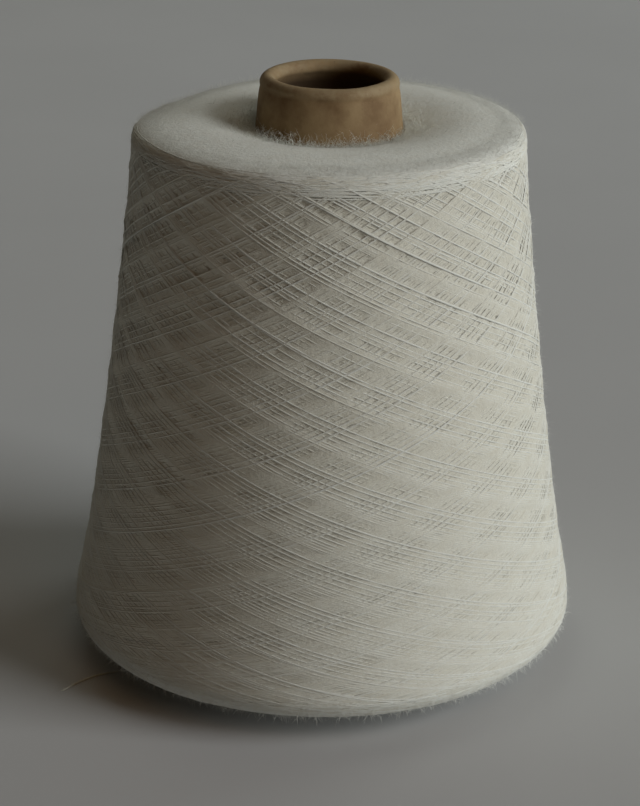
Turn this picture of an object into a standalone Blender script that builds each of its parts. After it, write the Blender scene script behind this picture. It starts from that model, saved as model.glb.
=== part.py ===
"""A cone of yarn: a hollow paper cone, the yarn wound on it, and one loose yarn end.

Metres, +Z up. The origin is the centre of the paper cone's base, on the surface
that the cone stands on, and +Z is the axis of the winding. The front is -Y.
"""

import math

import bpy
import bmesh
from mathutils import Vector

# ---------------------------------------------------------------- paper cone

CONE_LENGTH = 0.170
CONE_HALF_ANGLE = math.radians(5.95)
CONE_WALL = 0.0028
NOSE_OUTER_RADIUS = 0.0192
NOSE_ROLL_RADIUS = 0.0021
NOSE_ROLL_STEPS = 14
NOSE_ROLL_END_ANGLE = math.radians(250.0)
BASE_CHAMFER = 0.0004

# ------------------------------------------------------------- yarn package

YARN_BOTTOM = 0.0070
YARN_TOP = 0.1568
BOTTOM_EDGE_RADIUS = 0.0070
TOP_EDGE_RADIUS = 0.0055
EDGE_STEPS = 6
TOP_CROWN = 0.0010
TOP_FACE_STEPS = 5

# The pieces touch in reality. Here they keep this gap.
PIECE_GAP = 0.0003

# The flared side, from the lower edge's rounding to the upper one's, at even heights:
# height, radius
SIDE_SECTIONS = (
    (0.0140, 0.0727),
    (0.0369, 0.0686),
    (0.0598, 0.0652),
    (0.0827, 0.0621),
    (0.1056, 0.0593),
    (0.1284, 0.0567),
    (0.1513, 0.0549),
)

# The winding: bands of thread that rise to the left and to the right by turns.
BANDS_EACH_WAY = 12
COLUMNS_PER_BAND = 6
COLUMNS_PER_ROW = 2
BAND_HEIGHT = 0.0004
BAND_FADE = 0.010
LEAD_ANGLE_AT_BOTTOM = math.radians(16.0)
LEAD_ANGLE_AT_TOP = math.radians(25.0)

# ----------------------------------------------------------------- loose end

YARN_DIAMETER = 0.0004
LOOSE_END_POINT_PITCH = 0.0010
CURVE_STEPS = 20
# Its centre line's height where it lies on the floor, just clear of it.
LYING_HEIGHT = YARN_DIAMETER / 2 + 0.00002

# It leaves the underside of the yarn, drops to the floor and runs out to the left.
LOOSE_END_ROUTE = (
    (-0.0470, -0.0226, YARN_BOTTOM - PIECE_GAP),
    (-0.0472, -0.0228, 0.0051),
    (-0.0485, -0.0237, 0.0026),
    (-0.0508, -0.0252, 0.0008),
    (-0.0532, -0.0266, LYING_HEIGHT),
    (-0.0558, -0.0278, LYING_HEIGHT),
    (-0.0603, -0.0291, LYING_HEIGHT),
    (-0.0653, -0.0317, LYING_HEIGHT),
    (-0.0698, -0.0362, LYING_HEIGHT),
    (-0.0732, -0.0408, LYING_HEIGHT),
)

# All the turned solids have the same columns, so their facets lie face to face.
COLUMNS = BANDS_EACH_WAY * COLUMNS_PER_BAND

YARN_COLOUR = (0.72, 0.70, 0.62, 1.0)
PAPER_COLOUR = (0.43, 0.30, 0.17, 1.0)


def clear_scene():
    for old in list(bpy.data.objects):
        bpy.data.objects.remove(old, do_unlink=True)


def plain_material(name, colour, roughness):
    material = bpy.data.materials.new(name)
    material.use_nodes = True
    shader = material.node_tree.nodes["Principled BSDF"]
    shader.inputs["Base Color"].default_value = colour
    shader.inputs["Roughness"].default_value = roughness
    shader.inputs["Metallic"].default_value = 0.0
    return material


def column_angle(column):
    return 2 * math.pi * column / COLUMNS


def turned_solid(name, rings, material):
    """A closed ring of sections: each ring is a list of one (radius, height) a column."""
    mesh_builder = bmesh.new()
    grid = []
    for ring in rings:
        row = []
        for column, (radius, height) in enumerate(ring):
            angle = column_angle(column)
            point = (radius * math.cos(angle), radius * math.sin(angle), height)
            row.append(mesh_builder.verts.new(point))
        grid.append(row)
    for index, row in enumerate(grid):
        next_row = grid[(index + 1) % len(grid)]
        for column in range(COLUMNS):
            after = (column + 1) % COLUMNS
            corners = (row[column], row[after], next_row[after], next_row[column])
            mesh_builder.faces.new(corners)
    bmesh.ops.recalc_face_normals(mesh_builder, faces=mesh_builder.faces)
    mesh = bpy.data.meshes.new(name)
    mesh_builder.to_mesh(mesh)
    mesh_builder.free()
    mesh.shade_smooth()
    mesh.set_sharp_from_angle(angle=math.radians(40.0))
    mesh.materials.append(material)
    solid = bpy.data.objects.new(name, mesh)
    bpy.context.scene.collection.objects.link(solid)
    return solid


# ---------------------------------------------------------------- paper cone


def cone_outer_radius(height):
    """The paper cone's outside, a straight taper up to its rolled nose."""
    return NOSE_OUTER_RADIUS + (CONE_LENGTH - NOSE_ROLL_RADIUS - height) * math.tan(CONE_HALF_ANGLE)


def cone_inner_radius(height):
    return cone_outer_radius(height) - CONE_WALL / math.cos(CONE_HALF_ANGLE)


def paper_cone_profile():
    """The wall's section: up the outside, over the rolled nose, down the inside."""
    profile = [
        (cone_outer_radius(0.0) - BASE_CHAMFER, 0.0),
        (cone_outer_radius(BASE_CHAMFER), BASE_CHAMFER),
    ]
    roll_centre_radius = NOSE_OUTER_RADIUS - NOSE_ROLL_RADIUS
    roll_centre_height = CONE_LENGTH - NOSE_ROLL_RADIUS
    for step in range(NOSE_ROLL_STEPS + 1):
        share = step / NOSE_ROLL_STEPS
        angle = CONE_HALF_ANGLE + share * (NOSE_ROLL_END_ANGLE - CONE_HALF_ANGLE)
        radius = roll_centre_radius + NOSE_ROLL_RADIUS * math.cos(angle)
        height = roll_centre_height + NOSE_ROLL_RADIUS * math.sin(angle)
        profile.append((radius, height))
    under_roll = roll_centre_height - 1.5 * NOSE_ROLL_RADIUS
    profile.append((cone_inner_radius(under_roll), under_roll))
    profile.append((cone_inner_radius(BASE_CHAMFER), BASE_CHAMFER))
    profile.append((cone_inner_radius(0.0) + BASE_CHAMFER, 0.0))
    return profile


def build_paper_cone():
    rings = [[point] * COLUMNS for point in paper_cone_profile()]
    return turned_solid("paper_cone", rings, plain_material("paper", PAPER_COLOUR, 0.85))


# -------------------------------------------------------------- yarn package


def side_radius(height):
    """The package's side at this height, a smooth curve through SIDE_SECTIONS."""
    last = len(SIDE_SECTIONS) - 1
    first_height = SIDE_SECTIONS[0][0]
    spacing = (SIDE_SECTIONS[last][0] - first_height) / last
    place = min(max((height - first_height) / spacing, 0.0), float(last))
    lower = min(int(place), last - 1)
    share = place - lower
    before = SIDE_SECTIONS[max(lower - 1, 0)][1]
    start = SIDE_SECTIONS[lower][1]
    end = SIDE_SECTIONS[lower + 1][1]
    after = SIDE_SECTIONS[min(lower + 2, last)][1]
    start_slope = (end - before) / 2
    end_slope = (after - start) / 2
    blend = share * share * (3 - 2 * share)
    curve_in = share * (1 - share) ** 2 * start_slope
    curve_out = share * share * (1 - share) * end_slope
    return start + (end - start) * blend + curve_in - curve_out


def lead_angle(height):
    """How steeply a thread climbs: steeper on the small end, as the traverse is wound."""
    share = (height - YARN_BOTTOM) / (YARN_TOP - YARN_BOTTOM)
    return LEAD_ANGLE_AT_BOTTOM + share * (LEAD_ANGLE_AT_TOP - LEAD_ANGLE_AT_BOTTOM)


def winding_row_heights():
    """Rows spaced so that a thread crosses COLUMNS_PER_ROW columns from one to the next."""
    bottom = SIDE_SECTIONS[0][0]
    top = SIDE_SECTIONS[-1][0]
    turn = column_angle(COLUMNS_PER_ROW)
    heights = [bottom]
    while True:
        height = heights[-1]
        rise = turn * side_radius(height) * math.tan(lead_angle(height))
        if height + 1.5 * rise > top:
            break
        heights.append(height + rise)
    heights.append(top)
    return heights


def band_share(offset):
    """1 on the middle of a band of thread, 0 midway between two bands."""
    wave = 0.5 + 0.5 * math.cos(2 * math.pi * offset / COLUMNS_PER_BAND)
    return wave * wave * (3 - 2 * wave)


def band_relief(row, column, height):
    """How far the bands stand out at a point of the side: they add up where they cross."""
    rising_left = band_share(column - COLUMNS_PER_ROW * row)
    rising_right = band_share(column + COLUMNS_PER_ROW * row)
    to_end = min(height - SIDE_SECTIONS[0][0], SIDE_SECTIONS[-1][0] - height)
    fade = min(max(to_end / BAND_FADE, 0.0), 1.0)
    return BAND_HEIGHT * fade * (rising_left + rising_right)


def yarn_rings():
    """Sections from the bore's foot, round the outside, to the bore's top."""
    bore_foot = cone_outer_radius(YARN_BOTTOM) + PIECE_GAP
    bore_top = cone_outer_radius(YARN_TOP) + PIECE_GAP
    bottom_radius = SIDE_SECTIONS[0][1]
    top_radius = SIDE_SECTIONS[-1][1]
    flat_rings = [(bore_foot, YARN_BOTTOM)]
    for step in range(EDGE_STEPS):
        angle = math.pi / 2 * step / EDGE_STEPS
        radius = bottom_radius - BOTTOM_EDGE_RADIUS * (1 - math.sin(angle))
        height = YARN_BOTTOM + BOTTOM_EDGE_RADIUS * (1 - math.cos(angle))
        flat_rings.append((radius, height))
    rings = [[point] * COLUMNS for point in flat_rings]
    for row, height in enumerate(winding_row_heights()):
        ring = []
        for column in range(COLUMNS):
            radius = side_radius(height) + band_relief(row, column, height)
            ring.append((radius, height))
        rings.append(ring)
    for step in range(1, EDGE_STEPS + 1):
        angle = math.pi / 2 * step / EDGE_STEPS
        radius = top_radius - TOP_EDGE_RADIUS * (1 - math.cos(angle))
        height = YARN_TOP - TOP_EDGE_RADIUS * (1 - math.sin(angle))
        rings.append([(radius, height)] * COLUMNS)
    face_edge = top_radius - TOP_EDGE_RADIUS
    for step in range(1, TOP_FACE_STEPS + 1):
        share = step / TOP_FACE_STEPS
        radius = face_edge + share * (bore_top - face_edge)
        height = YARN_TOP + TOP_CROWN * math.sin(math.pi * share)
        rings.append([(radius, height)] * COLUMNS)
    return rings


def build_yarn_package():
    return turned_solid("yarn_package", yarn_rings(), plain_material("yarn", YARN_COLOUR, 0.95))


# ----------------------------------------------------------------- loose end


def curve_through(points, wanted_pitch):
    """Points at an even pitch, near the wanted one, along a smooth curve through the points."""
    vectors = [Vector(point) for point in points]
    vectors.insert(0, 2 * vectors[0] - vectors[1])
    vectors.append(2 * vectors[-1] - vectors[-2])
    fine = []
    for index in range(1, len(vectors) - 2):
        before, start, end, after = vectors[index - 1:index + 3]
        for step in range(CURVE_STEPS):
            t = step / CURVE_STEPS
            slope_in = (end - before) / 2
            slope_out = (after - start) / 2
            blend = t * t * (3 - 2 * t)
            bend = slope_in * (t * (1 - t) ** 2) - slope_out * (t * t * (1 - t))
            fine.append(start.lerp(end, blend) + bend)
    fine.append(vectors[-2])
    length = sum((b - a).length for a, b in zip(fine, fine[1:]))
    pieces = round(length / wanted_pitch)
    pitch = length / pieces
    even = [fine[0]]
    travelled = 0.0
    for start, end in zip(fine, fine[1:]):
        step_length = (end - start).length
        while len(even) < pieces and travelled + step_length >= pitch * len(even):
            share = (pitch * len(even) - travelled) / step_length
            even.append(start.lerp(end, share))
        travelled += step_length
    even.append(fine[-1])
    return even


def build_loose_end():
    points = curve_through(LOOSE_END_ROUTE, LOOSE_END_POINT_PITCH)
    curve = bpy.data.curves.new("loose_end", "CURVE")
    curve.dimensions = "3D"
    curve.bevel_depth = YARN_DIAMETER / 2
    curve.bevel_resolution = 2
    curve.use_fill_caps = True
    spline = curve.splines.new("POLY")
    spline.points.add(len(points) - 1)
    for spline_point, point in zip(spline.points, points):
        spline_point.co = (point.x, point.y, max(point.z, LYING_HEIGHT), 1.0)
    curve.materials.append(plain_material("loose_yarn", YARN_COLOUR, 0.95))
    cord = bpy.data.objects.new("loose_end", curve)
    bpy.context.scene.collection.objects.link(cord)
    return cord


clear_scene()
build_paper_cone()
build_yarn_package()
build_loose_end()
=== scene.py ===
"""The looks of a cone of yarn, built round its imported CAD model.

Metres, +Z up, the front is -Y. The yarn is wound as on the real cone: one thin thread
runs up and down the package in crossing passes, later passes lie on earlier ones, and
each pass turns back at the rounded ends. Fine fibres stand off the threads everywhere.
"""

import math

import bpy
import numpy as np
from mathutils import Matrix, Vector


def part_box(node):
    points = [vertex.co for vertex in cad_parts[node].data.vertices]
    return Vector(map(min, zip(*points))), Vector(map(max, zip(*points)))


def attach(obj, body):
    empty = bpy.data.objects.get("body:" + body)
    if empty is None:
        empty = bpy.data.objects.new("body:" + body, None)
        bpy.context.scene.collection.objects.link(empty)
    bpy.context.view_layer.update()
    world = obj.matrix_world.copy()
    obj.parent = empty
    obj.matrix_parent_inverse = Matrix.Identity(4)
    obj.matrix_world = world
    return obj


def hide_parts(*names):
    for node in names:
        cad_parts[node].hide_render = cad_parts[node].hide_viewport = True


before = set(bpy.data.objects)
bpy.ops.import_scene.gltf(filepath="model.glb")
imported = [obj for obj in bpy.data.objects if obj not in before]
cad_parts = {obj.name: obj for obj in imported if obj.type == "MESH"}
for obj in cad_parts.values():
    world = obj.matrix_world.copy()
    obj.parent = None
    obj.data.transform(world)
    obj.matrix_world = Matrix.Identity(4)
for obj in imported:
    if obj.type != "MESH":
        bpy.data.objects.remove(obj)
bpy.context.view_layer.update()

# ---- camera, as in the photo

CAMERA_PLACE = Vector((0.0, -0.7032, 0.3443))
CAMERA_AIM = Vector((-0.0015, 0.0, 0.0730))
CAMERA_ROLL = math.radians(0.782)
CAMERA_LENS_MM = 116.8

# ---- sizes of the part

YARN_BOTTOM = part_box("yarn_package")[0][2]
CONE_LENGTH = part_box("paper_cone")[1][2]
CONE_HALF_ANGLE = math.radians(5.95)
CONE_WALL = 0.0028
CONE_CHAMFER = 0.0004
NOSE_OUTER_RADIUS = 0.0192
NOSE_ROLL_RADIUS = 0.0021
NOSE_ROLL_END_ANGLE = math.radians(222.0)

YARN_TOP = 0.1568
TOP_CROWN = 0.0016
# The top face sinks in towards the paper cone: how far, how narrowly and how roundly.
TOP_DIP = 0.0024
TOP_DIP_NARROWNESS = 1.35
TOP_DIP_CURVE = 1.6
BOTTOM_EDGE_RADIUS = 0.0070
TOP_EDGE_RADIUS = 0.0055
# 1 rounds the top edge as a circle would, and less than 1 makes the corner fuller.
TOP_EDGE_SQUARENESS = 0.72
BORE_GAP = 0.0003

# The flared side between its rounded edges, at even heights: height, radius
SIDE_SECTIONS = (
    (0.0140, 0.0727),
    (0.0369, 0.0686),
    (0.0598, 0.0652),
    (0.0827, 0.0621),
    (0.1056, 0.0593),
    (0.1284, 0.0567),
    (0.1513, 0.0549),
)
SIDE_FOOT = SIDE_SECTIONS[0][0]
SIDE_TOP = SIDE_SECTIONS[-1][0]

# Points of the skin's outline across the face, round each edge and down the side
FACE_POINTS = 120
EDGE_POINTS = 59
SIDE_POINTS = 399

# ---- the wound thread

# The thread lies a little flattened on the turns below it.
THREAD_WIDTH = 0.00041
THREAD_HEIGHT = 0.00025
# How flat it is shaded, since it is hairy and light gets into it.
THREAD_SOFTNESS = 0.62
PASSES = 960
# Only the outer passes are modelled, in this many pieces.
TURN_PIECES = 3
PASSES_PER_PIECE = 240
POINTS_PER_PASS = 80

# The thread climbs at this angle in the middle heights, and less near each turn.
LEAD_ANGLE_LOW = math.radians(17.0)
LEAD_ANGLE_GAIN = math.radians(9.0)
LEAD_LOW_HEIGHT = 0.040
LEAD_GAIN_RUN = 0.095
TURN_LOW = 0.0092
TURN_HIGH = 0.1551
TURN_EASE_LOW = 0.029
TURN_EASE_HIGH = 0.009

# After this many double passes the thread comes back beside itself, one step further.
GROUPS = 12
TURNS_IN_GROUPS = 25
STEP_BESIDE = 0.00257
STEP_HEIGHT = 0.08
# Slow waves crowd and spread the steps into ribbons: strength, turns a radian, start.
RIBBON_WAVES = ((0.52, 48.1, 1.3), (0.14, 17.0, 0.0))
# Chance: how far a group and a turn drift round the cone in radians, how far a turn slips
# along the skin, and how far the thread wanders round between its turns.
GROUP_DRIFT = 0.024
TURN_DRIFT = 0.004
TURN_SLIP = 0.0010
TURN_SLIP_MOST = 0.0017
THREAD_WANDER = 0.0028

# How thick the wound turns are in all, and the share of it that lies over every thread.
WINDING_DEPTH = 0.00100
LEAST_DEPTH = 0.1
# How much each turn builds up the winding, and the cells in which that is counted.
PILE_STEP = 0.00012
PILE_COLUMNS = 1080
PILE_ROW = 0.00026
PILE_FINER = 16

# A thread is uneven along itself and from pass to pass, in shares of its thickness.
THREAD_WAVES = 0.13
THREAD_SPREAD = 0.05
THREAD_LIMITS = (0.85, 1.15)
# The last passes are not yet pressed in: how many, and how swollen and raised they are.
FRESH_PASSES = 60.0
FRESH_SWELLING = 0.22
FRESH_RISE = 0.00005
# Tones of the passes, and how far old, rising, fresh and deep thread differs: old, rising and
# deep thread is darkened as painted shade, and fresh thread lightened as a painted highlight.
# It is deep below DEEP_START of the winding's depth.
TONE_MEAN = 0.95
TONE_SPREAD = 0.05
OLD_PASSES = 300
PAINTED_SHADE_OLD = 0.24
PAINTED_SHADE_RISING = 0.22
PAINTED_HIGHLIGHT_FRESH = 0.08
PAINTED_SHADE_DEEP = 0.5
DEEP_START = 0.2

# ---- the yarn's body

# The matted yarn lies this deep below the top turns, and less by these shares at the edges.
MAT_DEPTH = 0.00019
MAT_FOOT_SHARE = 0.35
MAT_TOP_SHARE = 0.25
# Where no turns are modelled, it lies only this deep.
MAT_LEAST_DEPTH = 0.0001
# Painted shade: under the turns it is darker by this much, and by so much less at the foot.
MAT_SHADE = 0.5
MAT_FOOT_SHADE = 0.2
# The body has one column of points for this many of the pile.
BODY_COARSER = 3

# ---- fibres, loose end

FIBRE_RADIUS = 0.000021
FIBRE_THINNING = 0.75
FIBRE_RADIUS_SHARES = (0.7, 1.25)
# How far a fibre is shaded as the skin it stands on, and how deep in the skin it starts.
FIBRE_SOFTNESS = 0.8
FIBRE_ROOT_DEPTH = 0.0002
# Fibres that face away from the axis face this much upward as well.
FIBRE_UPWARD = 0.35

YARN_DIAMETER = 0.0004
LYING_HEIGHT = YARN_DIAMETER / 2 + 0.00002
LOOSE_END_ROUTE = (
    (-0.0470, -0.0226, YARN_BOTTOM - 0.0003),
    (-0.0472, -0.0228, 0.0051),
    (-0.0485, -0.0237, 0.0026),
    (-0.0508, -0.0252, 0.0008),
    (-0.0532, -0.0266, LYING_HEIGHT),
    (-0.0558, -0.0278, LYING_HEIGHT),
    (-0.0603, -0.0291, LYING_HEIGHT),
    (-0.0653, -0.0317, LYING_HEIGHT),
    (-0.0698, -0.0362, LYING_HEIGHT),
    (-0.0732, -0.0408, LYING_HEIGHT),
)
CORD_SIDES = 12
# Its two plies are twisted round once in this length, and stand out by this share.
PLY_TWIST = 0.0016
PLY_RELIEF = 0.06
LOOSE_HAIRS = 900
LOOSE_TIP_HAIRS = 25

# ---- paper cone, stage

PAPER_COLUMNS = 192
# The nose is a little out of round, from just over the yarn.
NOSE_CLEAR = 0.002
NOSE_FADE = 0.006
DENT_WAVES = range(2, 8)
DENT_SIZE = 0.00006
RIPPLE_SIZE = 0.00004
# A faint crease shows the end of the roll: (how far below the top, how deep).
CREASE = ((0.0022, 0.0), (0.0033, 0.00022), (0.0048, 0.00008), (0.0065, 0.0))
CREASE_POINTS = (0.0024, 0.0029, 0.0033, 0.0038, 0.0048)

FLOOR_REACH = 30.0
LIGHTS_AIM = Vector((0.0, 0.0, 0.08))
# Each light's azimuth (0 is in front of the cone and 90 on its right), elevation,
# distance, size, power and colour
LIGHTS = {
    "window_light": (70, 24, 12.0, (6.75, 7.5), 850.0, (0.99, 1.0, 1.0)),
    "front_fill": (20, 45, 1.6, (0.8, 0.8), 0.80, (1.0, 0.52, 0.18)),
    "back_light": (130, 25, 1.6, (0.7, 0.7), 2.6, (0.96, 1.0, 0.96)),
    "top_back_fill": (185, 55, 1.6, (1.0, 1.0), 1.5, (0.89, 1.0, 0.93)),
    "left_back_fill": (215, 30, 1.6, (0.9, 0.9), 0.8, (1.0, 0.90, 0.74)),
}
ROOM_COLOUR = (1.0, 0.60, 0.25, 1.0)
ROOM_STRENGTH = 0.014

# ---- colours and surfaces

BLACK = (0.0, 0.0, 0.0, 1.0)
WHITE = (1.0, 1.0, 1.0, 1.0)
YARN_LIGHT = (0.875, 0.905, 0.85, 1.0)
YARN_DARK = (0.84, 0.855, 0.785, 1.0)
# Painted shade: the warm, darker colour of the yarn between and under the turns.
YARN_GAP_SHADE = (0.905, 0.875, 0.815, 1.0)
FIBRE_LIGHT = (0.88, 0.905, 0.84, 1.0)
FIBRE_DARK = (0.88 * 0.88, 0.88 * 0.905, 0.88 * 0.84, 1.0)
PAPER_LIGHT = (0.395, 0.283, 0.149, 1.0)
PAPER_DARK = (0.225, 0.142, 0.068, 1.0)
PAPER_WORN = (0.37, 0.285, 0.165, 1.0)
# Painted shade down inside the paper cone.
PAPER_INSIDE_SHADE = (0.085, 0.055, 0.030, 1.0)
PAPER_SPECK = (0.35, 0.30, 0.26, 1.0)
PAPER_LEAST_WEAR = (0.15, 0.15, 0.15, 1.0)
FLOOR_LIGHT = (0.575, 0.585, 0.59, 1.0)
FLOOR_DARK = (0.95 * 0.575, 0.95 * 0.585, 0.95 * 0.59, 1.0)

YARN_SURFACE = {
    "Roughness": 0.88,
    "Specular IOR Level": 0.22,
    "Sheen Weight": 0.10,
    "Sheen Roughness": 0.45,
    "Sheen Tint": (1.0, 0.97, 0.90, 1.0),
}
PAPER_SURFACE = {"Roughness": 0.72, "Specular IOR Level": 0.30}
FLOOR_SURFACE = {"Roughness": 0.9, "Specular IOR Level": 0.15}


# ---- small helpers


def link(thing):
    bpy.context.scene.collection.objects.link(thing)
    return thing


def new_object(name, mesh, material):
    mesh.materials.append(material)
    return link(bpy.data.objects.new(name, mesh))


def new_mesh(name, points, faces):
    """A mesh from an array of points and a list of face arrays, one array a face size."""
    mesh = bpy.data.meshes.new(name)
    mesh.vertices.add(len(points))
    mesh.vertices.foreach_set("co", points.astype(np.float32).ravel())
    sizes = np.concatenate([np.full(len(group), group.shape[1]) for group in faces])
    corners = np.concatenate([group.ravel() for group in faces])
    mesh.loops.add(len(corners))
    mesh.loops.foreach_set("vertex_index", corners.astype(np.int32))
    starts = np.concatenate(([0], np.cumsum(sizes)[:-1]))
    mesh.polygons.add(len(sizes))
    mesh.polygons.foreach_set("loop_start", starts.astype(np.int32))
    mesh.update(calc_edges=True)
    mesh.shade_smooth()
    return mesh


def set_tone(mesh, tones):
    tone = mesh.attributes.new("tone", "FLOAT", "POINT")
    tone.data.foreach_set("value", tones.astype(np.float32))


def set_uv(mesh, *coordinates):
    """The UV layer: a pair for each face corner, in the faces' order."""
    layer = mesh.uv_layers.new(name="OFBake")
    pairs = np.concatenate([part.reshape(-1, 2) for part in coordinates])
    layer.data.foreach_set("uv", pairs.astype(np.float32).ravel())


def unit(vectors):
    return vectors / np.linalg.norm(vectors, axis=-1, keepdims=True)


def lean_normals(mesh, towards, share):
    """Shades each point as if it faced this share of the way from its own normal."""
    own = np.empty(3 * len(mesh.vertices), np.float32)
    mesh.vertex_normals.foreach_get("vector", own)
    own = own.reshape(-1, 3)
    normals = unit(own + share * (towards - own))
    mesh.normals_split_custom_set_from_vertices(normals.tolist())


# The order of a quad's corners when it faces the other way
TURNED_OVER = [0, 3, 2, 1]


def ring_quads(rings, sides):
    """The quads between each ring of points and the next, with points numbered in order."""
    ring = np.arange(rings - 1)[:, None] * sides
    side = np.arange(sides)
    after = (side + 1) % sides
    quads = np.stack([ring + side, ring + after, ring + sides + after, ring + sides + side], axis=-1)
    return quads.reshape(-1, 4)


def ring_points(centres, across, beside, size, tall=1.0, wide=1.0):
    """Three points round each centre, the first one straight across."""
    rings = []
    for side in range(3):
        angle = math.tau * side / 3
        rings.append(centres + size * (tall * math.cos(angle) * across + wide * math.sin(angle) * beside))
    return np.stack(rings, axis=-2)


def running_sum(steps):
    """0, and then the sum of the steps so far."""
    return np.concatenate(([0.0], np.cumsum(steps)))


def circle(angle):
    return np.stack([np.cos(angle), np.sin(angle)], axis=-1)


def ease(share):
    """0 to 1 as the share goes, but level at both ends."""
    return share * share * (3 - 2 * share)


def curve_between(before, start, end, after, share):
    """A smooth curve from start to end, whose ends head as their neighbours say."""
    curve_in = share * (1 - share) ** 2 * (end - before) / 2
    curve_out = share * share * (1 - share) * (after - start) / 2
    return start + (end - start) * ease(share) + curve_in - curve_out


def ramp(place, stops):
    """The values at these places, straight between stops of (place, value)."""
    return np.interp(place, *zip(*stops))


def smooth_noise(random, count, length, step):
    """count rows of smooth random numbers, about -1 to 1, with a knot every step places."""
    knots = random.normal(0.0, 0.6, (count, length // step + 3))
    place = np.linspace(0.0, length / step, length)
    lower = place.astype(int)
    blend = ease(place - lower)
    return knots[:, lower] * (1 - blend) + knots[:, lower + 1] * blend


# ---- outline of the package


def side_radius(height):
    """Radius of the flared side at these heights, a smooth curve through SIDE_SECTIONS."""
    radii = np.array([radius for _, radius in SIDE_SECTIONS])
    last = len(radii) - 1
    spacing = (SIDE_TOP - SIDE_FOOT) / last
    place = np.clip((np.asarray(height) - SIDE_FOOT) / spacing, 0.0, last)
    lower = np.minimum(place.astype(int), last - 1)
    padded = np.concatenate((radii[:1], radii, radii[-1:]))
    neighbours = [padded[lower + step] for step in range(4)]
    return curve_between(*neighbours, place - lower)


def cone_outer_radius(height):
    nose_centre = CONE_LENGTH - NOSE_ROLL_RADIUS
    return NOSE_OUTER_RADIUS + (nose_centre - height) * math.tan(CONE_HALF_ANGLE)


def skin_profile():
    """The package's skin as close (radius, height) points, from the bore's top over the
    domed face, round the shoulder, down the side and round the foot, to the bore's foot."""
    bore_top = cone_outer_radius(YARN_TOP) + BORE_GAP
    bore_foot = cone_outer_radius(YARN_BOTTOM) + BORE_GAP
    face_edge = SIDE_SECTIONS[-1][1] - TOP_EDGE_RADIUS
    foot_edge = SIDE_SECTIONS[0][1] - BOTTOM_EDGE_RADIUS
    share = np.linspace(0.0, 1.0, FACE_POINTS)
    turn = np.linspace(0.0, math.pi / 2, EDGE_POINTS + 1)[1:]
    side_heights = np.linspace(SIDE_TOP, SIDE_FOOT, SIDE_POINTS + 1)[1:]
    dip = TOP_DIP * np.clip(1 - TOP_DIP_NARROWNESS * share, 0.0, 1.0) ** TOP_DIP_CURVE
    dome = TOP_CROWN * np.sin(math.pi * share) - dip
    face = (bore_top + (face_edge - bore_top) * share, YARN_TOP + dome)
    shoulder = (face_edge + TOP_EDGE_RADIUS * np.sin(turn) ** TOP_EDGE_SQUARENESS,
                SIDE_TOP + TOP_EDGE_RADIUS * np.cos(turn) ** TOP_EDGE_SQUARENESS)
    side = (side_radius(side_heights), side_heights)
    foot = (foot_edge + BOTTOM_EDGE_RADIUS * np.cos(turn),
            SIDE_FOOT - BOTTOM_EDGE_RADIUS * np.sin(turn))
    under = (foot_edge + (bore_foot - foot_edge) * share[1:],
             np.full(FACE_POINTS - 1, YARN_BOTTOM))
    return np.concatenate([face, shoulder, side, foot, under], axis=1)


SKIN_RADIUS, SKIN_HEIGHT = skin_profile()
SKIN_STEPS = np.hypot(np.diff(SKIN_RADIUS), np.diff(SKIN_HEIGHT))
# A place on the skin is how far it is from the bore's top, along the profile.
SKIN_PLACE = running_sum(SKIN_STEPS)
SKIN_AREA = running_sum(SKIN_STEPS * (SKIN_RADIUS[1:] + SKIN_RADIUS[:-1]))
SKIN_OUTWARD = -np.gradient(SKIN_HEIGHT, SKIN_PLACE)
SKIN_UPWARD = np.gradient(SKIN_RADIUS, SKIN_PLACE)

# The last points of the face, the shoulder, the side and the foot
CORNERS = np.cumsum((FACE_POINTS, EDGE_POINTS, SIDE_POINTS, EDGE_POINTS)) - 1
FACE_END, SIDE_START, SIDE_END, FOOT_END = SKIN_PLACE[CORNERS]
SKIN_END = SKIN_PLACE[-1]


def at_height(height):
    """The place on the shoulder, side or foot at this height."""
    outside = slice(CORNERS[0], CORNERS[-1] + 1)
    return np.interp(-height, -SKIN_HEIGHT[outside], SKIN_PLACE[outside])


# ---- what changes along the skin

# The pile is counted from a little above the highest turn.
PILE_START = SIDE_START - 0.0050

# Stops are (place, value). The skin has given way in two places: how far, at which angle,
# how widely, and how much of that there is at each stop. The rim has sunk at the back
# left, where turns have slipped, and the foot is worn in a little at the front right.
RIM_SAG = (0.0022, math.radians(153.0), 0.53,
           ((0.3 * FACE_END, 0.0), (FACE_END - 0.002, 1.0), (SIDE_START, 1.0), (SIDE_START + 0.030, 0.0)))
FOOT_TUCK = (0.0016, math.radians(-32.0), 0.55,
             ((SIDE_END - 0.010, 0.0), (SIDE_END + 0.004, 1.0), (FOOT_END, 1.0), (SKIN_END - 0.010, 0.0)))
# How much the ribbons stand out: less towards the two ends.
RELIEF_STOPS = ((SIDE_START, 0.5), (SIDE_START + 0.03, 0.8), (SIDE_START + 0.06, 1.0), (SIDE_END - 0.03, 0.5))
# How near the foot and how near the top a place on the side is.
NEAR_FOOT_STOPS = ((SIDE_END - 0.07, 0.0), (SIDE_END, 1.0))
NEAR_TOP_STOPS = ((SIDE_START, 1.0), (SIDE_START + 0.05, 0.0))
# Where the body lies under modelled turns.
UNDER_TURNS_STOPS = ((at_height(TURN_HIGH + 0.0002), 0.0), (SIDE_START - 0.0008, 1.0),
                     (at_height(TURN_LOW + 0.0015), 1.0), (FOOT_END, 0.0))
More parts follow.
